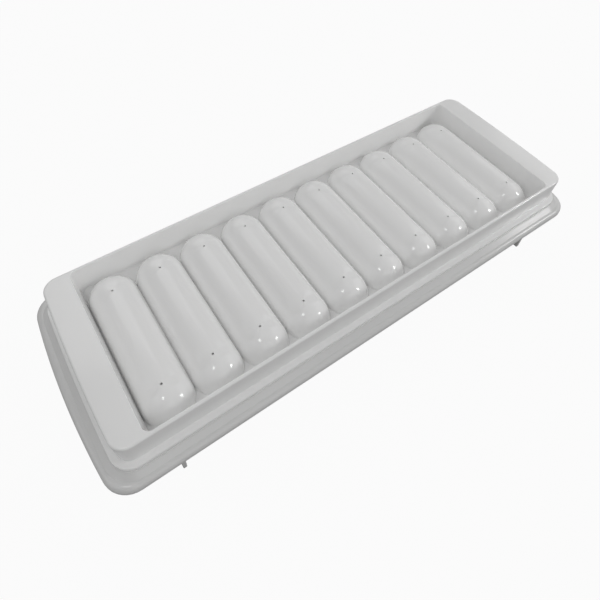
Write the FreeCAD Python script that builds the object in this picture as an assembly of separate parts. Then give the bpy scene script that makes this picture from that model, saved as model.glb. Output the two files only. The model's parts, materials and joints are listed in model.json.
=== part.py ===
"""Two-part mould for ten round ice sticks, in white polypropylene.

The lower mould stands on four legs and holds ten half-round troughs in a raised deck. The upper mould
drops over that deck. Its ten half-round domes close the troughs to full sticks, and its walls make a
shallow basin round them: water poured into the basin runs in through one small hole of each dome
while the air leaves through the other.

Millimetres, X along the tray, Y across it, Z up. The origin is on the table, under the tray's centre.
"""

import FreeCAD, Part
import math
import os

from FreeCAD import Vector

# Sticks
STICK_COUNT = 10
PITCH = 22.0                 # from one stick to the next
STICK_RADIUS = 10.0          # half the thickness of a finished stick
STICK_HALF_LENGTH = 36.6     # from the middle to the tip of its round end
SKIN = 1.2                   # moulded wall round a stick
HOLE_RADIUS = 0.5            # fill hole and vent hole in each dome
HOLE_HALF_SPAN = 24.5        # from the middle of a dome to each of its holes

# Heights, from the table up
STAND = 21.7                 # table to the underside of the lower flange
SHEET = 1.5                  # moulded wall of the walls, the flange and the skirt
SHOULDER = 1.9               # flange top to the ledge round the deck
DECK_STEP = 1.3              # ledge to the top of the raised deck
BASIN_DEPTH = 13.9           # rim of the upper mould to its floor

# Upper mould. Plan sizes are half of the whole; lengths are at the corners of the bowed ends.
RIM_HALF_LENGTH = 123.4
RIM_HALF_WIDTH = 41.2
RIM_BOW = 1.0                # how far the middle of an end stands out beyond its corners
RIM_CORNER = 6.5
RIM_EDGE = 0.9               # rounding of the rim's outer edge
WALL_DRAFT = 2.5             # degrees the wall leans out upwards
BASIN_HALF_LENGTH = 111.8    # straight inner ends of the basin, at the rim
BASIN_CORNER = 3.0
BASIN_END_DRAFT = 8.0        # degrees
FLOOR_FILLET = 1.0
LIP_WIDTH = 2.8              # ledge round the foot of the upper mould
LIP_DROP = 1.0               # how far its edge hangs down beside the deck
LIP_EDGE = 0.5
SEAT_CLEARANCE = 0.3         # between that edge and the deck

# Lower mould
SHOULDER_REVEAL = 0.4        # how far the shoulder stands out beyond the upper mould's ledge
SHOULDER_SPREAD = 2.4        # how far the shoulder slopes outwards
FLANGE_HALF_LENGTH = 130.0
FLANGE_HALF_WIDTH = 48.6
FLANGE_BOW = 2.9
FLANGE_CORNER = 11.0
ROLL_RADIUS = 2.2            # the flange's rounded, turned-down edge
ROLL_DEPTH = 3.8             # flange top to the bottom of that edge

# Legs
LEG_INSET = 4.3              # from the last stick's centre line outwards
LEG_REACH = 44.8             # outer edge of a leg, from the tray's centre line
LEG_DEPTH = 8.0              # across the tray
LEG_SHEET = 2.4
LEG_WEB = 9.0                # length of its cross web, along the tray
LEG_TAPER = 0.8              # degrees on each face of the leg

OVERRUN = 1.0                # how far cutting shapes run past what they cut
LEVEL_TOLERANCE = 0.0001     # for telling which edges lie at a height

END_X = (STICK_COUNT - 1) / 2 * PITCH
FLANGE_TOP = STAND + SHEET
LEDGE_TOP = FLANGE_TOP + SHOULDER
DECK_TOP = LEDGE_TOP + DECK_STEP
FLOOR_TOP = DECK_TOP + SKIN
RIM_TOP = FLOOR_TOP + BASIN_DEPTH
STICK_XS = [index * PITCH - END_X for index in range(STICK_COUNT)]


def lean(height, degrees):
    """Sideways run of a wall that leans by so many degrees over a height."""
    return height * math.tan(math.radians(degrees))


def outline(half_length, half_width, corner, bow, z):
    """Rounded rectangle whose two ends bulge outwards by bow, as a wire at height z."""
    x_mid = half_length + bow
    end_radius = (half_width ** 2 + bow ** 2) / (2 * bow)
    centre = x_mid - end_radius
    corner_y = half_width - corner
    corner_x = centre + math.sqrt((end_radius - corner) ** 2 - corner_y ** 2)
    reach = end_radius / (end_radius - corner)
    tangent_x = centre + (corner_x - centre) * reach
    tangent_y = corner_y * reach
    turn = (math.pi / 2 + math.atan2(corner_y, corner_x - centre)) / 2
    bend_x = corner_x + corner * math.cos(turn)
    bend_y = corner_y + corner * math.sin(turn)
    edges = []
    for side in (1, -1):
        start = Vector(-corner_x * side, half_width * side, z)
        flat = Vector(corner_x * side, half_width * side, z)
        upper = Vector(tangent_x * side, tangent_y * side, z)
        lower = Vector(tangent_x * side, -tangent_y * side, z)
        far_flat = Vector(corner_x * side, -half_width * side, z)
        edges.append(Part.LineSegment(start, flat))
        edges.append(Part.Arc(flat, Vector(bend_x * side, bend_y * side, z), upper))
        edges.append(Part.Arc(upper, Vector(x_mid * side, 0, z), lower))
        edges.append(Part.Arc(lower, Vector(bend_x * side, -bend_y * side, z), far_flat))
    return Part.Wire([edge.toShape() for edge in edges])


def rectangle(half_length, half_width, corner, z):
    """Plain rounded rectangle as a wire at height z."""
    x = half_length - corner
    y = half_width - corner
    diagonal = corner * math.sqrt(0.5)
    edges = []
    for side in (1, -1):
        edges.append(Part.LineSegment(Vector(-x * side, half_width * side, z),
                                      Vector(x * side, half_width * side, z)))
        edges.append(Part.Arc(Vector(x * side, half_width * side, z),
                              Vector((x + diagonal) * side, (y + diagonal) * side, z),
                              Vector(half_length * side, y * side, z)))
        edges.append(Part.LineSegment(Vector(half_length * side, y * side, z),
                                      Vector(half_length * side, -y * side, z)))
        edges.append(Part.Arc(Vector(half_length * side, -y * side, z),
                              Vector((x + diagonal) * side, -(y + diagonal) * side, z),
                              Vector(x * side, -half_width * side, z)))
    return Part.Wire([edge.toShape() for edge in edges])


def between(lower, upper):
    """Solid between two outlines, one above the other."""
    return Part.makeLoft([lower, upper], True, True)


def edges_at(shape, z):
    """Edges of a shape that lie wholly at height z."""
    found = []
    for edge in shape.Edges:
        box = edge.BoundBox
        if abs(box.ZMin - z) < LEVEL_TOLERANCE and abs(box.ZMax - z) < LEVEL_TOLERANCE:
            found.append(edge)
    return found


def capsules(radius):
    """All the sticks at once, as round bars with round ends, grown or shrunk to a radius."""
    half_bar = STICK_HALF_LENGTH - STICK_RADIUS
    shapes = []
    for x in STICK_XS:
        bar = Part.makeCylinder(radius, 2 * half_bar, Vector(x, -half_bar, DECK_TOP), Vector(0, 1, 0))
        for side in (1, -1):
            bar = bar.fuse(Part.makeSphere(radius, Vector(x, side * half_bar, DECK_TOP)))
        shapes.append(bar)
    return shapes


def slab(z_low, z_high):
    """Block wider than the tray between two heights, for keeping one half of a shape."""
    length = 2 * (FLANGE_HALF_LENGTH + FLANGE_BOW + OVERRUN)
    width = 2 * (FLANGE_HALF_WIDTH + OVERRUN)
    return Part.makeBox(length, width, z_high - z_low, Vector(-length / 2, -width / 2, z_low))


def foot_outline(grow, z):
    """Outline of the upper mould's wall where it meets the floor plate, grown outwards."""
    inset = lean(BASIN_DEPTH, WALL_DRAFT)
    return outline(RIM_HALF_LENGTH - inset + grow, RIM_HALF_WIDTH - inset + grow,
                   RIM_CORNER - inset + grow, RIM_BOW, z)


def rim_outline(grow, z):
    """Outline of the upper mould's wall at the rim, grown outwards."""
    return outline(RIM_HALF_LENGTH + grow, RIM_HALF_WIDTH + grow, RIM_CORNER + grow, RIM_BOW, z)


def make_upper_mould():
    """Basin with ten domes in its floor, hollow plateaus at its ends and a ledge round its foot."""
    body = between(foot_outline(0, DECK_TOP), rim_outline(0, RIM_TOP))
    body = body.makeFillet(RIM_EDGE, edges_at(body, RIM_TOP))
    ledge = between(foot_outline(LIP_WIDTH, DECK_TOP - LIP_DROP), foot_outline(LIP_WIDTH, FLOOR_TOP))
    ledge = ledge.makeFillet(LIP_EDGE, edges_at(ledge, FLOOR_TOP))
    seat = between(foot_outline(LIP_WIDTH - SHEET, DECK_TOP - LIP_DROP - OVERRUN),
                   foot_outline(LIP_WIDTH - SHEET, DECK_TOP))
    body = body.fuse(ledge.cut(seat))

    # The basin, drafted, with a round at the foot of its walls
    end_run = lean(BASIN_DEPTH, BASIN_END_DRAFT)
    side_run = lean(BASIN_DEPTH, WALL_DRAFT)
    half_width = RIM_HALF_WIDTH - SHEET
    basin = between(rectangle(BASIN_HALF_LENGTH - end_run, half_width - side_run, BASIN_CORNER, FLOOR_TOP),
                    rectangle(BASIN_HALF_LENGTH, half_width, BASIN_CORNER, RIM_TOP))
    basin = basin.makeFillet(FLOOR_FILLET, edges_at(basin, FLOOR_TOP))
    body = body.cut(basin)

    # Hollows under the plateaus: the inside of the outer wall, less what backs the basin's ends
    hollow = between(foot_outline(-SHEET, DECK_TOP - OVERRUN), rim_outline(-SHEET, RIM_TOP - SHEET))
    past_walls = RIM_HALF_WIDTH + BASIN_CORNER + OVERRUN
    back = between(rectangle(BASIN_HALF_LENGTH - end_run + SHEET, past_walls, BASIN_CORNER,
                             DECK_TOP - OVERRUN),
                   rectangle(BASIN_HALF_LENGTH + SHEET, past_walls, BASIN_CORNER, RIM_TOP))
    body = body.cut(hollow.cut(back))

    # Domes, the stick cavities under them, and two holes through each crown
    upper_half = slab(DECK_TOP, RIM_TOP)
    domes = [bar.common(upper_half) for bar in capsules(STICK_RADIUS + SKIN)]
    body = body.fuse(domes)
    holes = []
    for x in STICK_XS:
        for side in (1, -1):
            holes.append(Part.makeCylinder(HOLE_RADIUS, STICK_RADIUS + 2 * SKIN,
                                           Vector(x, side * HOLE_HALF_SPAN, DECK_TOP)))
    return body.cut(capsules(STICK_RADIUS) + holes)


def make_envelope(inset, sink):
    """Deck, shoulder and turned-down flange of the lower mould as one filled shape.

    The same shape set in and sunk by the wall thickness is the hollow under it.
    """
    ledge_length = RIM_HALF_LENGTH - lean(BASIN_DEPTH, WALL_DRAFT) + LIP_WIDTH
    ledge_width = RIM_HALF_WIDTH - lean(BASIN_DEPTH, WALL_DRAFT) + LIP_WIDTH
    ledge_corner = RIM_CORNER - lean(BASIN_DEPTH, WALL_DRAFT) + LIP_WIDTH

    def ring(grow, z):
        return outline(ledge_length + grow - inset, ledge_width + grow - inset,
                       ledge_corner + grow - inset, RIM_BOW, z - sink)

    deck_grow = -SHEET - SEAT_CLEARANCE
    deck = between(ring(deck_grow, FLANGE_TOP), ring(deck_grow, DECK_TOP))
    shoulder = between(ring(SHOULDER_REVEAL + SHOULDER_SPREAD, FLANGE_TOP), ring(SHOULDER_REVEAL, LEDGE_TOP))
    bottom = FLANGE_TOP - ROLL_DEPTH - sink
    flange = between(outline(FLANGE_HALF_LENGTH - inset, FLANGE_HALF_WIDTH - inset,
                             FLANGE_CORNER - inset, FLANGE_BOW, bottom),
                     outline(FLANGE_HALF_LENGTH - inset, FLANGE_HALF_WIDTH - inset,
                             FLANGE_CORNER - inset, FLANGE_BOW, FLANGE_TOP - sink))
    flange = flange.makeFillet(ROLL_RADIUS - inset, edges_at(flange, FLANGE_TOP - sink))
    return flange.fuse([shoulder, deck])


def tapered(half_x, half_y, x, y, top):
    """Upright blade that narrows towards the table."""
    run = lean(top, LEG_TAPER)

    def section(grow, z):
        points = [Vector(x + sx * (half_x + grow), y + sy * (half_y + grow), z)
                  for sx, sy in ((1, 1), (1, -1), (-1, -1), (-1, 1), (1, 1))]
        return Part.makePolygon(points)

    return between(section(-run, 0), section(0, top))


def make_leg(side_x, side_y, envelope):
    """Leg of two crossed blades that grows out of the hollow under the flange."""
    x = side_x * (END_X + LEG_INSET)
    blade = tapered(LEG_SHEET / 2, LEG_DEPTH / 2, x, side_y * (LEG_REACH - LEG_DEPTH / 2), LEDGE_TOP)
    web = tapered(LEG_WEB / 2, LEG_SHEET / 2, x, side_y * (LEG_REACH - LEG_DEPTH + LEG_SHEET / 2), LEDGE_TOP)
    leg = blade.fuse(web)
    inside = leg.common(envelope)
    below = leg.common(slab(0, FLANGE_TOP - ROLL_DEPTH))
    return inside.fuse(below)


def make_lower_mould():
    """Deck with ten troughs over a hollow flange, on four legs."""
    envelope = make_envelope(0, 0)
    shell = envelope.cut(make_envelope(SHEET, SHEET))
    lower_half = slab(0, DECK_TOP)
    troughs = [bar.common(lower_half) for bar in capsules(STICK_RADIUS + SKIN)]
    legs = [make_leg(side_x, side_y, envelope) for side_x in (1, -1) for side_y in (1, -1)]
    return shell.fuse(troughs + legs).cut(capsules(STICK_RADIUS))


os.makedirs("parts", exist_ok=True)
NODES = {"upper_mould": make_upper_mould, "lower_mould": make_lower_mould}
for name, make in NODES.items():
    solid = make().removeSplitter()
    print(name, solid.isValid(), len(solid.Solids), round(solid.Volume), solid.BoundBox)
    solid.Solids[0].exportStep(f"parts/{name}.step")
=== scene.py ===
"""Studio scene of the two-part mould for ten round ice sticks.

Metres, X along the tray, Y across it, Z up, with the table at zero. Each moulding is drawn as the skin of
one even sheet of plastic, top and underside, and takes the place of its plain solid.
"""

import json
import math

import bmesh
import bpy
import numpy as np
from mathutils import Matrix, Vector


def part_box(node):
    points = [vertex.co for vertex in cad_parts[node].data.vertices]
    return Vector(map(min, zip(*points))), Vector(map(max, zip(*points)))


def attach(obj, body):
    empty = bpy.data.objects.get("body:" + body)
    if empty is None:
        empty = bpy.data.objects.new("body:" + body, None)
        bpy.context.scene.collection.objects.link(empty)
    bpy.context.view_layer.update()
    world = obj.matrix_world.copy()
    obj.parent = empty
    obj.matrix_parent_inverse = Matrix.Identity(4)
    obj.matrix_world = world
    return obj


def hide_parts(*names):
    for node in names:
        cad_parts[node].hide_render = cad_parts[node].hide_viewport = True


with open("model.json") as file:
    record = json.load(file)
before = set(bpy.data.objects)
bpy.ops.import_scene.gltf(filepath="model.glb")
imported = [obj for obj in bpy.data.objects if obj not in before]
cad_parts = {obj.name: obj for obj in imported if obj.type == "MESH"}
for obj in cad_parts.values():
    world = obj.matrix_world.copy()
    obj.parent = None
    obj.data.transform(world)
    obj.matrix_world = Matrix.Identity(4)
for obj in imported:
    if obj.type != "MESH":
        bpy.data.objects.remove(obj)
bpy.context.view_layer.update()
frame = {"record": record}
MM = 0.001


# --- Upper mould: floor with ten domes ---------------------------------------------------------------
# The floor of the upper mould is a thin sheet of white polypropylene, pushed up into ten half-round
# domes that stand shoulder to shoulder. Each dome is open below, to shape the top half of a stick, and
# has a small fill hole and a vent hole near its ends, moulded right through the skin.
STICKS = sorted(((np.array(opening["box_m"][0]) + np.array(opening["box_m"][1])) / 2
                 for opening in frame["record"]["physics"]["openings"]
                 if opening["name"].startswith("stick")), key=lambda centre: centre[0])
STICK_XS = np.array([centre[0] for centre in STICKS])
SPLIT = STICKS[0][2]                          # height of the plane where the two mouldings meet
HALF_PITCH = (STICK_XS[1] - STICK_XS[0]) / 2
STICK_RADIUS = 10.0 * MM
HALF_BAR = 26.6 * MM                          # from the middle of a stick to where its round end begins
SKIN = 1.2 * MM
HOLE_RADIUS = 0.5 * MM
HOLE_Y = 24.5 * MM
FLOOR_LENGTH = STICK_XS[-1] + HALF_PITCH      # half lengths and widths, from the tray's middle
FLOOR_WIDTH = 38.5 * MM
FLOOR_CORNER = 2.4 * MM
BAR_COLUMNS = 21                              # odd, so that one column runs along the crest
HOLE_RINGS = np.array([0.0, 0.5, 1.0, 2.0]) * HOLE_RADIUS
HOLE_RING = 2                                 # this ring of the grid becomes the edge of the hole


def bar_field(radius, rise):
    """Ten half-round bars with round ends that stand out of a flat sheet, as a grid of x, y and height.

    Across a bar the angle a runs over the arc, so x = r sin a and height = r cos a, until the arc meets
    the sheet or the next bar. Over the round end each point turns by an angle p about the bar's cross
    axis: y = L + r cos a sin p, height = r cos a cos p, and p stops where the height has come down to the
    sheet. The last rows run on flat to the long wall, crowded towards it as the sine of an even count.
    """
    reach = min(HALF_PITCH, math.sqrt(radius ** 2 - rise ** 2))
    angle = np.linspace(-1, 1, BAR_COLUMNS) * math.asin(reach / radius)
    edge = max(rise, math.sqrt(max(0.0, radius ** 2 - HALF_PITCH ** 2)))
    across = np.concatenate([[-HALF_PITCH], radius * np.sin(angle), [HALF_PITCH]])
    arc = np.concatenate([[edge], np.maximum(radius * np.cos(angle), rise), [edge]])

    # Rows: the straight part with close rows round the hole, the round end, and the flat to the wall
    near_hole = HOLE_Y + np.array([-4, -3, -2, -1, 0, 1, 2, 3]) * 0.5 * MM
    straight = np.concatenate([np.linspace(0, HOLE_Y - 5 * MM, 6), near_hole, [HALF_BAR]])
    meets = np.arccos(np.clip(rise / np.maximum(arc, 0.001 * MM), 0, 1))
    turn = meets * np.linspace(0, 1, 11)[1:, None]
    end_y = HALF_BAR + arc * np.sin(turn)
    flat = np.sin(np.linspace(0, math.pi / 2, 11)[1:, None])
    flat_y = end_y[-1] + (FLOOR_WIDTH - end_y[-1]) * flat
    y = np.concatenate([straight[:, None] + 0 * arc, end_y, flat_y])
    height = np.concatenate([0 * straight[:, None] + arc, arc * np.cos(turn), 0 * flat + rise + 0 * arc])
    on_flat = np.arange(len(y)) >= len(straight) + len(turn)
    x = 0 * y + across
    return x, y, height, on_flat, len(straight) - 1 - 4


def ringed_hole(x, y, height, radius, row):
    """The grid near a hole, pulled into circles: each square ring of points takes one ring's radius."""
    column = x.shape[1] // 2
    step_x, step_y = np.meshgrid(np.arange(x.shape[1]) - column, np.arange(len(x)) - row)
    ring = np.maximum(np.abs(step_x), np.abs(step_y))
    near = ring < len(HOLE_RINGS)
    reach = HOLE_RINGS[ring[near]]
    heading = np.arctan2(step_y[near], step_x[near])
    x[near] = reach * np.cos(heading)
    y[near] = HOLE_Y + reach * np.sin(heading)
    height[near] = np.sqrt(radius ** 2 - x[near] ** 2)


def bar_sheet(radius, rise, side, holes):
    """Whole sheet with its ten bars as an array of points; side is +1 for bars that stand up, -1 for down.

    Half a cell is worked out for positive y and mirrored, then the cell is set beside itself ten times.
    On the flat rows of the two end cells x is drawn in, so that the sheet's corners are round.
    """
    x, y, height, on_flat, hole_row = bar_field(radius, rise)
    if holes:
        ringed_hole(x, y, height, radius, hole_row)
    x = np.concatenate([x[:0:-1], x])
    y = np.concatenate([-y[:0:-1], y])
    height = np.concatenate([height[:0:-1], height])
    on_flat = np.concatenate([on_flat[:0:-1], on_flat])
    past = np.clip(np.abs(y) - (FLOOR_WIDTH - FLOOR_CORNER), 0, FLOOR_CORNER)
    limit = FLOOR_LENGTH - FLOOR_CORNER + np.sqrt(FLOOR_CORNER ** 2 - past ** 2)
    squeeze = np.where(on_flat[:, None], (limit - STICK_XS[-1]) / HALF_PITCH, 1)
    cells = []
    for place, centre in enumerate(STICK_XS):
        outward = {0: x < 0, len(STICK_XS) - 1: x > 0}.get(place, np.zeros_like(x, bool))
        cells.append(np.stack([centre + np.where(outward, x * squeeze, x), y, SPLIT + side * height], -1))
    return np.concatenate(cells, axis=1)


def hole_places(sheet):
    """Row and column of the middle of each hole, front and back, in a whole sheet."""
    half = (len(sheet) + 1) // 2
    row = bar_field(STICK_RADIUS, 0)[4]
    cell = sheet.shape[1] // len(STICK_XS)
    columns = np.arange(len(STICK_XS)) * cell + cell // 2
    return [(half - 1 + sign * row, column) for column in columns for sign in (-1, 1)]


def border(sheet):
    """Loop of points round the edge of a grid."""
    return np.concatenate([sheet[0, :-1], sheet[:-1, -1], sheet[-1, :0:-1], sheet[:0:-1, 0]])


dome_tops = bar_sheet(STICK_RADIUS + SKIN, SKIN, 1, holes=True)
dome_hollows = bar_sheet(STICK_RADIUS, 0, 1, holes=True)


# --- Upper mould: walls, end plateaus and ledge ------------------------------------------------------
# The wall rises from the floor's edge, turns over into the rim and comes down outside it, all in the
# same sheet. At both ends the rim is widened into a plateau that is hollow below. A ledge runs round
# the foot and hangs a little way down beside the lower mould's deck, which keeps the two in place.
RIM_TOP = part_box("upper_mould")[1][2]
RIM = (123.4 * MM, 41.2 * MM, 6.5 * MM, 1.0 * MM)            # half length, half width, corner, bow of the ends
BASIN_MOUTH = (111.8 * MM, 39.7 * MM, 3.0 * MM, 0.02 * MM)
WALL_LEAN = math.tan(math.radians(2.5))
BASIN_END_LEAN = math.tan(math.radians(8))
SHEET = 1.5 * MM
FLOOR_FILLET = 0.6 * MM
RIM_INNER_EDGE = 0.35 * MM
RIM_OUTER_EDGE = 0.9 * MM
LEDGE = 2.8 * MM
LEDGE_FILLET = 0.4 * MM
LEDGE_EDGE = 0.5 * MM
LIP_DROP = 0.27 * MM                          # hides the dark line between the lip and the shoulder
LIP_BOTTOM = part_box("upper_mould")[0][2] - LIP_DROP
LIP_EDGE = 0.2 * MM
QUARTER = np.linspace(0, math.pi / 2, 5)

edge_loop = border(dome_tops)
along = np.clip(edge_loop[:, 0] / (FLOOR_LENGTH - FLOOR_CORNER), -1, 1)
sideways = edge_loop[:, 1] / FLOOR_WIDTH
floor_level = edge_loop[:, 2]


def grown(sizes, amount):
    """Outline sizes set outwards by an amount all round."""
    length, width, corner, bow = sizes
    return (length + amount, width + amount, corner + amount, bow)


def outline(sizes, z):
    """Points round a rounded rectangle with bowed ends, one for each point of the floor's edge.

    On the long sides x keeps its share of the straight length. On the ends y keeps its share of the
    width, and x follows from y: on the bow it is a circle of radius (w^2 + b^2) / 2b about a centre on
    the long axis, and past the corner's tangent point it is the corner's own circle.
    """
    length, width, corner, bow = sizes
    bow_radius = (width ** 2 + bow ** 2) / (2 * bow)
    bow_centre = length + bow - bow_radius
    corner_y = width - corner
    corner_x = bow_centre + math.sqrt((bow_radius - corner) ** 2 - corner_y ** 2)
    tangent_y = corner_y * bow_radius / (bow_radius - corner)
    y = sideways * width
    on_bow = bow_centre + np.sqrt(bow_radius ** 2 - np.minimum(np.abs(y), tangent_y) ** 2)
    past = np.clip(np.abs(y) - corner_y, 0, corner)
    on_corner = corner_x + np.sqrt(corner ** 2 - past ** 2)
    end_x = np.where(np.abs(y) < tangent_y, on_bow, on_corner)
    on_end = np.abs(along) == 1
    x = np.where(on_end, np.sign(along) * end_x, along * corner_x)
    return np.stack([x, y, z + 0 * x], -1)


def outer_wall(z):
    """Outer face of the upper mould at a height: the rim's outline, leaning in downwards."""
    return grown(RIM, -(RIM_TOP - z) * WALL_LEAN)


def rounded_edge(sizes, z, radius, rising):
    """Rows over a rounded edge: out by r sin t and down by r (1 - cos t), or the same path upwards."""
    turns = QUARTER[::-1] if rising else QUARTER
    return [outline(grown(sizes, radius * (math.sin(turn) - 1)), z - radius * (1 - math.cos(turn)))
            for turn in turns]


foot = outer_wall(SPLIT + SKIN)
ledge = grown(foot, LEDGE)
basin_floor = (FLOOR_LENGTH, FLOOR_WIDTH, FLOOR_CORNER, BASIN_MOUTH[3])
wall_rows = [edge_loop]
for turn in QUARTER[1:]:
    lift = FLOOR_FILLET * (1 - math.cos(turn))
    spread = FLOOR_FILLET * math.sin(turn)
    wall_rows.append(outline((FLOOR_LENGTH + lift * BASIN_END_LEAN, FLOOR_WIDTH + spread,
                              FLOOR_CORNER + spread, BASIN_MOUTH[3]), floor_level + lift))
for turn in QUARTER:
    wall_rows.append(outline(grown(BASIN_MOUTH, RIM_INNER_EDGE * (1 - math.cos(turn))),
                             RIM_TOP - RIM_INNER_EDGE * (1 - math.sin(turn))))
wall_rows += rounded_edge(RIM, RIM_TOP, RIM_OUTER_EDGE, rising=False)
for turn in QUARTER:
    z = SPLIT + SKIN + LEDGE_FILLET * (1 - math.sin(turn))
    wall_rows.append(outline(grown(outer_wall(z), LEDGE_FILLET * (1 - math.cos(turn))), z))
wall_rows += rounded_edge(ledge, SPLIT + SKIN, LEDGE_EDGE, rising=False)
for turn in QUARTER:
    wall_rows.append(outline(grown(ledge, LIP_EDGE * (math.cos(turn) - 1)),
                             LIP_BOTTOM + LIP_EDGE * (1 - math.sin(turn))))
wall_rows.append(outline(grown(ledge, -SHEET), LIP_BOTTOM))
wall_rows.append(outline(grown(ledge, -SHEET), SPLIT))

# The hollow under each plateau closes to nothing along the long walls, where the sheet is doubled
hollow_edge = border(dome_hollows)
room = np.clip((1 - np.abs(sideways)) / 0.1, 0, 1)[:, None]
hollow_top = RIM_TOP - SHEET
for sizes, z in ((grown(foot, -SHEET), SPLIT),
                 (grown(outer_wall(hollow_top), -SHEET), hollow_top),
                 (grown(BASIN_MOUTH, SHEET), hollow_top),
                 (grown(basin_floor, SHEET), SPLIT)):
    wall_rows.append(hollow_edge + (outline(sizes, z) - hollow_edge) * room)
wall_rows.append(hollow_edge)
upper_walls = np.stack(wall_rows)
upper_walls = np.concatenate([upper_walls, upper_walls[:, :1]], axis=1)


def grid_faces(rows, columns, start, keep=None):
    """Corner numbers of the four-sided faces of a grid whose points begin at start."""
    corner = start + np.arange(rows - 1)[:, None] * columns + np.arange(columns - 1)
    faces = np.stack([corner, corner + 1, corner + columns + 1, corner + columns], -1)
    return faces.reshape(-1, 4) if keep is None else faces[keep]


def moulding(name, grids, body, node, material):
    """One closed skin from several grids of points: their faces are joined and shared points merged."""
    points, faces, start = [], [], 0
    for grid, keep in grids:
        rows, columns = grid.shape[:2]
        points.append(grid.reshape(-1, 3))
        faces.append(grid_faces(rows, columns, start, keep))
        start += rows * columns
    mesh = bpy.data.meshes.new(name)
    mesh.from_pydata(np.concatenate(points).tolist(), [], np.concatenate(faces).tolist())
    work = bmesh.new()
    work.from_mesh(mesh)
    bmesh.ops.remove_doubles(work, verts=work.verts, dist=0.002 * MM)
    bmesh.ops.dissolve_degenerate(work, edges=work.edges, dist=0.002 * MM)
    bmesh.ops.recalc_face_normals(work, faces=work.faces)
    work.to_mesh(mesh)
    work.free()
    mesh.shade_smooth()
    mesh.set_sharp_from_angle(angle=math.radians(32))
    mesh.materials.append(material)
    piece = bpy.data.objects.new(name, mesh)
    bpy.context.scene.collection.objects.link(piece)
    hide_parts(node)
    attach(piece, body)


def moulded_skin():
    """Node group for the look of the plastic: flow clouds in its tone, uneven gloss and a fine orange peel.

    Tone comes out as the given colour times 1 + c (n - 0.5), with n a slow noise; Gloss as the roughness
    plus v (m - 0.5), with m a finer noise; Normal as a bump over slow waves and fine grain.
    """
    group = bpy.data.node_groups.new("moulded skin", "ShaderNodeTree")
    face = group.interface
    for label, kind, value in (("Colour", "NodeSocketColor", (0.8, 0.8, 0.8, 1)),
                               ("Roughness", "NodeSocketFloat", 0.3),
                               ("Clouding", "NodeSocketFloat", 0.05),
                               ("Gloss spread", "NodeSocketFloat", 0.1)):
        face.new_socket(name=label, in_out="INPUT", socket_type=kind).default_value = value
    face.new_socket(name="Tone", in_out="OUTPUT", socket_type="NodeSocketColor")
    face.new_socket(name="Gloss", in_out="OUTPUT", socket_type="NodeSocketFloat")
    face.new_socket(name="Normal", in_out="OUTPUT", socket_type="NodeSocketVector")
    nodes, links = group.nodes, group.links
    given = nodes.new("NodeGroupInput")
    result = nodes.new("NodeGroupOutput")
    place = nodes.new("ShaderNodeTexCoord")

    def noise(scale, detail):
        node = nodes.new("ShaderNodeTexNoise")
        node.inputs["Scale"].default_value = scale
        node.inputs["Detail"].default_value = detail
        links.new(place.outputs["Object"], node.inputs["Vector"])
        return node.outputs["Fac"]

    def arithmetic(operation, *values):
        node = nodes.new("ShaderNodeMath")
        node.operation = operation
        for socket, value in zip(node.inputs, values):
            if isinstance(value, (int, float)):
                socket.default_value = value
            else:
                links.new(value, socket)
        return node.outputs[0]

    clouds = arithmetic("SUBTRACT", noise(14, 3), 0.5)
    factor = arithmetic("MULTIPLY_ADD", clouds, given.outputs["Clouding"], 1.0)
    tint = nodes.new("ShaderNodeVectorMath")
    tint.operation = "SCALE"
    links.new(given.outputs["Colour"], tint.inputs[0])
    links.new(factor, tint.inputs["Scale"])
    links.new(tint.outputs[0], result.inputs["Tone"])
    patches = arithmetic("SUBTRACT", noise(60, 4), 0.5)
    links.new(arithmetic("MULTIPLY_ADD", patches, given.outputs["Gloss spread"], given.outputs["Roughness"]),
              result.inputs["Gloss"])
    waves = nodes.new("ShaderNodeBump")
    waves.inputs["Strength"].default_value = 0.12
    waves.inputs["Distance"].default_value = 0.6 * MM
    links.new(noise(45, 1), waves.inputs["Height"])
    grain = nodes.new("ShaderNodeBump")
    grain.inputs["Strength"].default_value = 0.12
    grain.inputs["Distance"].default_value = 0.04 * MM
    links.new(noise(1500, 2), grain.inputs["Height"])
    links.new(waves.outputs["Normal"], grain.inputs["Normal"])
    links.new(grain.outputs["Normal"], result.inputs["Normal"])
    return group


MOULDED_SKIN = moulded_skin()


def polypropylene(name, colour, roughness, clouding):
    """White, slightly translucent plastic whose tone, gloss and normal come from the moulded skin."""
    material = bpy.data.materials.new(name)
    material.use_nodes = True
    nodes, links = material.node_tree.nodes, material.node_tree.links
    shader = nodes["Principled BSDF"]
    skin = nodes.new("ShaderNodeGroup")
    skin.node_tree = MOULDED_SKIN
    skin.inputs["Colour"].default_value = (*colour, 1)
    skin.inputs["Roughness"].default_value = roughness
    skin.inputs["Clouding"].default_value = clouding
    links.new(skin.outputs["Tone"], shader.inputs["Base Color"])
    links.new(skin.outputs["Gloss"], shader.inputs["Roughness"])
    links.new(skin.outputs["Normal"], shader.inputs["Normal"])
    shader.inputs["IOR"].default_value = 1.49
    shader.inputs["Subsurface Weight"].default_value = 0.15
    shader.inputs["Subsurface Radius"].default_value = (1.0, 1.0, 1.0)
    shader.inputs["Subsurface Scale"].default_value = 0.8 * MM
    return material


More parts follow.
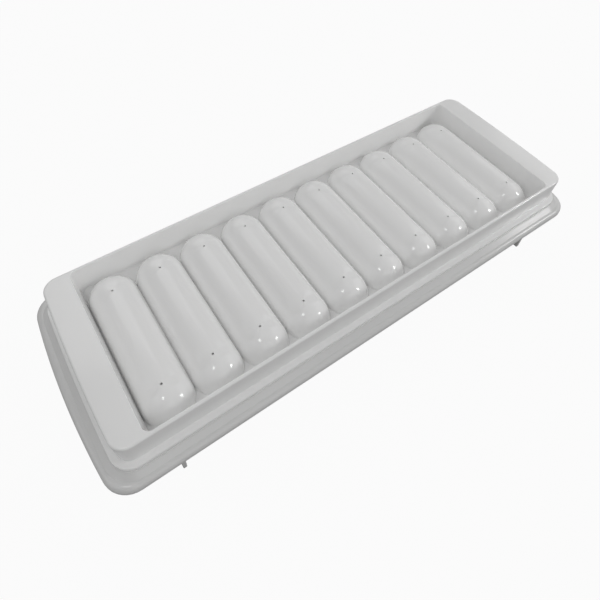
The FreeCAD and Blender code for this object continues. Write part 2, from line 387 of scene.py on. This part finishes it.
keep_cells = np.ones((dome_tops.shape[0] - 1, dome_tops.shape[1] - 1), bool)
bores = []
ring_turn = np.linspace(0, 2 * math.pi, 8 * HOLE_RING + 1)
ring_reach = HOLE_RING / np.maximum(np.abs(np.cos(ring_turn)), np.abs(np.sin(ring_turn)))
ring_x = np.rint(ring_reach * np.cos(ring_turn)).astype(int)
ring_y = np.rint(ring_reach * np.sin(ring_turn)).astype(int)
for row, column in hole_places(dome_tops):
    keep_cells[row - HOLE_RING:row + HOLE_RING, column - HOLE_RING:column + HOLE_RING] = False
    bores.append((np.stack([dome_tops[row + ring_y, column + ring_x],
                            dome_hollows[row + ring_y, column + ring_x]]), None))
upper_plastic = polypropylene("upper white polypropylene", (0.97, 0.97, 0.965), 0.12, 0.02)
moulding("upper_moulding", [(dome_tops, keep_cells), (dome_hollows, keep_cells), (upper_walls, None), *bores],
         "upper", "upper_mould", upper_plastic)


# --- Lower mould: deck with ten troughs, shoulder and flange -----------------------------------------
# The lower mould is a second moulding of the same white polypropylene, drawn in a darker colour that
# paints in shade. Ten half-round troughs hang from its raised deck to shape the lower halves of the sticks.
# Outside the deck it steps down to a sloping shoulder and a flat flange, whose edge is rolled over and turned
# down.
FLANGE = (130.0 * MM, 48.6 * MM, 11.0 * MM, 2.9 * MM)
FLANGE_TOP = 23.2 * MM
LEDGE_TOP = 25.1 * MM
DECK_GAP = 1.8 * MM          # from the outside of the upper mould's ledge in to the deck
SHOULDER_REVEAL = 0.4 * MM
SHOULDER_SPREAD = 2.4 * MM
ROLL_RADIUS = 2.2 * MM
ROLL_DEPTH = 3.8 * MM
SMALL_EDGE = 0.3 * MM

trough_tops = bar_sheet(STICK_RADIUS, 0, -1, holes=False)
trough_backs = bar_sheet(STICK_RADIUS + SKIN, SHEET, -1, holes=False)
deck = grown(ledge, -DECK_GAP)
shoulder = grown(ledge, SHOULDER_REVEAL)
shoulder_foot = grown(shoulder, SHOULDER_SPREAD)
flange_bottom = FLANGE_TOP - ROLL_DEPTH
deck_rows = [border(trough_tops)]
deck_rows += rounded_edge(deck, SPLIT, SMALL_EDGE, rising=False)
deck_rows.append(outline(deck, LEDGE_TOP))
deck_rows += rounded_edge(shoulder, LEDGE_TOP, SMALL_EDGE, rising=False)
deck_rows.append(outline(shoulder_foot, FLANGE_TOP))
deck_rows += rounded_edge(FLANGE, FLANGE_TOP, ROLL_RADIUS, rising=False)
for turn in QUARTER:
    deck_rows.append(outline(grown(FLANGE, SMALL_EDGE * (math.cos(turn) - 1)),
                             flange_bottom + SMALL_EDGE * (1 - math.sin(turn))))
deck_rows.append(outline(grown(FLANGE, -SHEET), flange_bottom))
deck_rows += rounded_edge(grown(FLANGE, -SHEET), FLANGE_TOP - SHEET, ROLL_RADIUS - SHEET, rising=True)
deck_rows.append(outline(grown(shoulder_foot, -SHEET), FLANGE_TOP - SHEET))
deck_rows.append(outline(grown(shoulder, -SHEET), LEDGE_TOP - SHEET))
deck_rows.append(outline(grown(deck, -SHEET), LEDGE_TOP - SHEET))
deck_rows.append(outline(grown(deck, -SHEET), SPLIT - SHEET))
deck_rows.append(border(trough_backs))
lower_walls = np.stack(deck_rows)
lower_walls = np.concatenate([lower_walls, lower_walls[:, :1]], axis=1)


# --- Lower mould: legs -------------------------------------------------------------------------------
# Four legs grow out of the hollow under the flange, each of two thin blades that cross like a T. They
# taper towards the table, so that the moulding leaves its tool.
LEG_X = STICK_XS[-1] + 4.3 * MM
LEG_REACH = 44.8 * MM
LEG_DEPTH = 8.0 * MM
LEG_SHEET = 2.4 * MM
LEG_WEB = 9.0 * MM
LEG_LEAN = math.tan(math.radians(0.8))
LEG_EDGE = 0.2 * MM


def blade(middle_x, middle_y, half_x, half_y):
    """Tapered blade on a superellipse: x = a |cos t|^0.2, y = b |sin t|^0.2.

    a and b are less towards the foot. Its top follows the underside of the deck, the shoulder and the
    flange, and goes a little way in.
    """
    turn = np.linspace(0, 2 * math.pi, 49)
    round_x = np.sign(np.cos(turn)) * np.abs(np.cos(turn)) ** 0.2
    round_y = np.sign(np.sin(turn)) * np.abs(np.sin(turn)) ** 0.2
    rows = []
    for share, inset in ((1, 0), (0.5, 0), (LEG_EDGE / LEDGE_TOP, 0), (0, LEG_EDGE), (0, None)):
        shrink = (1 - share) * LEDGE_TOP * LEG_LEAN + (inset or 0)
        scale = 0 if inset is None else 1
        x = middle_x + scale * (half_x - shrink) * round_x
        y = middle_y + scale * (half_y - shrink) * round_y
        under = np.interp(np.abs(y), np.array([deck[1], shoulder[1], shoulder_foot[1]]) - SHEET,
                          np.array([SPLIT, LEDGE_TOP, FLANGE_TOP]) - SHEET / 2)
        rows.append(np.stack([x, y, share * under], -1))
    cap = np.array(rows[0])
    cap[:, 0] = middle_x
    return np.stack([cap, *rows])


legs = []
for side_x in (-1, 1):
    for side_y in (-1, 1):
        legs.append((blade(side_x * LEG_X, side_y * (LEG_REACH - LEG_DEPTH / 2),
                           LEG_SHEET / 2, LEG_DEPTH / 2), None))
        legs.append((blade(side_x * LEG_X, side_y * (LEG_REACH - LEG_DEPTH + LEG_SHEET / 2),
                           LEG_WEB / 2, LEG_SHEET / 2), None))
# Same plastic as the upper moulding but a darker colour: painted shade on the lower moulding's shoulder,
# flange and legs.
lower_plastic_painted_shade = polypropylene("lower polypropylene with painted shade", (0.77, 0.77, 0.765), 0.20, 0.04)
moulding("lower_moulding", [(trough_tops, None), (trough_backs, None), (lower_walls, None), *legs],
         "lower", "lower_mould", lower_plastic_painted_shade)


# --- Floor -------------------------------------------------------------------------------------------
# A plain pale sheet of paper under the tray. The camera sees it as white, and it still takes a little
# of the tray's shadow.
FLOOR_HALF = 4.0
floor_mesh = bpy.data.meshes.new("paper")
floor_mesh.from_pydata([(-FLOOR_HALF, -FLOOR_HALF, 0), (FLOOR_HALF, -FLOOR_HALF, 0),
                        (FLOOR_HALF, FLOOR_HALF, 0), (-FLOOR_HALF, FLOOR_HALF, 0)], [], [(0, 1, 2, 3)])
paper = bpy.data.materials.new("white paper")
paper.use_nodes = True
paper_nodes, paper_links = paper.node_tree.nodes, paper.node_tree.links
paper_shader = paper_nodes["Principled BSDF"]
paper_shader.inputs["Base Color"].default_value = (0.45, 0.45, 0.45, 1)
paper_shader.inputs["Roughness"].default_value = 0.9
paper_shader.inputs["Specular IOR Level"].default_value = 0.1
glow = paper_nodes.new("ShaderNodeEmission")
glow.inputs["Color"].default_value = (1, 1, 1, 1)
glow.inputs["Strength"].default_value = 1.0
rays = paper_nodes.new("ShaderNodeLightPath")
either = paper_nodes.new("ShaderNodeMath")
either.operation = "MAXIMUM"
share = paper_nodes.new("ShaderNodeMath")
share.operation = "MULTIPLY"
share.inputs[1].default_value = 0.95
blend = paper_nodes.new("ShaderNodeMixShader")
paper_links.new(rays.outputs["Is Camera Ray"], either.inputs[0])
paper_links.new(rays.outputs["Is Transmission Ray"], either.inputs[1])
paper_links.new(either.outputs[0], share.inputs[0])
paper_links.new(share.outputs[0], blend.inputs["Fac"])
paper_links.new(paper_shader.outputs[0], blend.inputs[1])
paper_links.new(glow.outputs[0], blend.inputs[2])
paper_links.new(blend.outputs[0], paper_nodes["Material Output"].inputs["Surface"])
floor_mesh.materials.append(paper)
floor = bpy.data.objects.new("floor", floor_mesh)
bpy.context.scene.collection.objects.link(floor)


# --- Light -------------------------------------------------------------------------------------------
# Four broad soft windows, one on each side, light the tray evenly. Two small lamps,
# one low on the right and one nearly overhead, put a pair of glints on the front end of each dome.
world = bpy.data.worlds.new("studio")
bpy.context.scene.world = world
world.use_nodes = True
world_nodes, world_links = world.node_tree.nodes, world.node_tree.links
sky = world_nodes["Background"]
sky.inputs["Color"].default_value = (1, 1, 1, 1)
sky.inputs["Strength"].default_value = 0.20
backdrop = world_nodes.new("ShaderNodeBackground")
backdrop.inputs["Color"].default_value = (1, 1, 1, 1)
backdrop.inputs["Strength"].default_value = 1.0
sight = world_nodes.new("ShaderNodeLightPath")
seen = world_nodes.new("ShaderNodeMixShader")
world_links.new(sight.outputs["Is Camera Ray"], seen.inputs["Fac"])
world_links.new(sky.outputs[0], seen.inputs[1])
world_links.new(backdrop.outputs[0], seen.inputs[2])
world_links.new(seen.outputs[0], world_nodes["World Output"].inputs["Surface"])


def lamp(name, direction, distance, size, power):
    """Square lamp that looks at the tray from a direction, a distance away."""
    light = bpy.data.lights.new(name, "AREA")
    light.shape = "SQUARE"
    light.size = size
    light.energy = power
    aim = np.array(direction) / np.linalg.norm(direction)
    body = bpy.data.objects.new(name, light)
    side = np.cross((0, 0, 1), aim)
    side /= np.linalg.norm(side)
    body.matrix_world = Matrix.Translation(aim * distance) @ Matrix(
        np.column_stack([side, np.cross(aim, side), aim]).tolist()).to_4x4()
    bpy.context.scene.collection.objects.link(body)


WINDOW_DISTANCE = 1.2
WINDOW_SIZE = 0.9
LAMP_DISTANCE = 0.9
lamp("back window", (0.05, 0.75, 0.66), WINDOW_DISTANCE, WINDOW_SIZE, 2.6)
lamp("front window", (-0.10, -0.85, 0.50), WINDOW_DISTANCE, WINDOW_SIZE, 1.9)
lamp("right window", (0.90, 0.0, 0.45), WINDOW_DISTANCE, WINDOW_SIZE, 1.7)
lamp("left window", (-0.80, 0.0, 0.60), WINDOW_DISTANCE, WINDOW_SIZE, 1.5)
lamp("front lamp", (0.72, -0.46, 0.52), LAMP_DISTANCE, 0.14, 1.3)
lamp("top lamp", (-0.36, -0.15, 0.92), LAMP_DISTANCE, 0.16, 0.60)


# --- Camera ------------------------------------------------------------------------------------------
# It stands in front of the tray's left end, close by, and looks down along the row of domes.
camera = bpy.data.cameras.new("camera")
camera.sensor_width = 36
camera.lens = 32.26
camera.shift_y = -0.1833
camera.clip_start = 0.01
viewer = bpy.data.objects.new("camera", camera)
viewer.matrix_world = Matrix.Translation((-0.11156, -0.11903, 0.23948)) @ Matrix((
    (0.82093, 0.39261, -0.41464),
    (-0.56922, 0.62034, -0.53960),
    (0.04537, 0.67899, 0.73274))).to_4x4()
bpy.context.scene.collection.objects.link(viewer)
bpy.context.scene.camera = viewer
bpy.context.scene.view_settings.view_transform = "Standard"
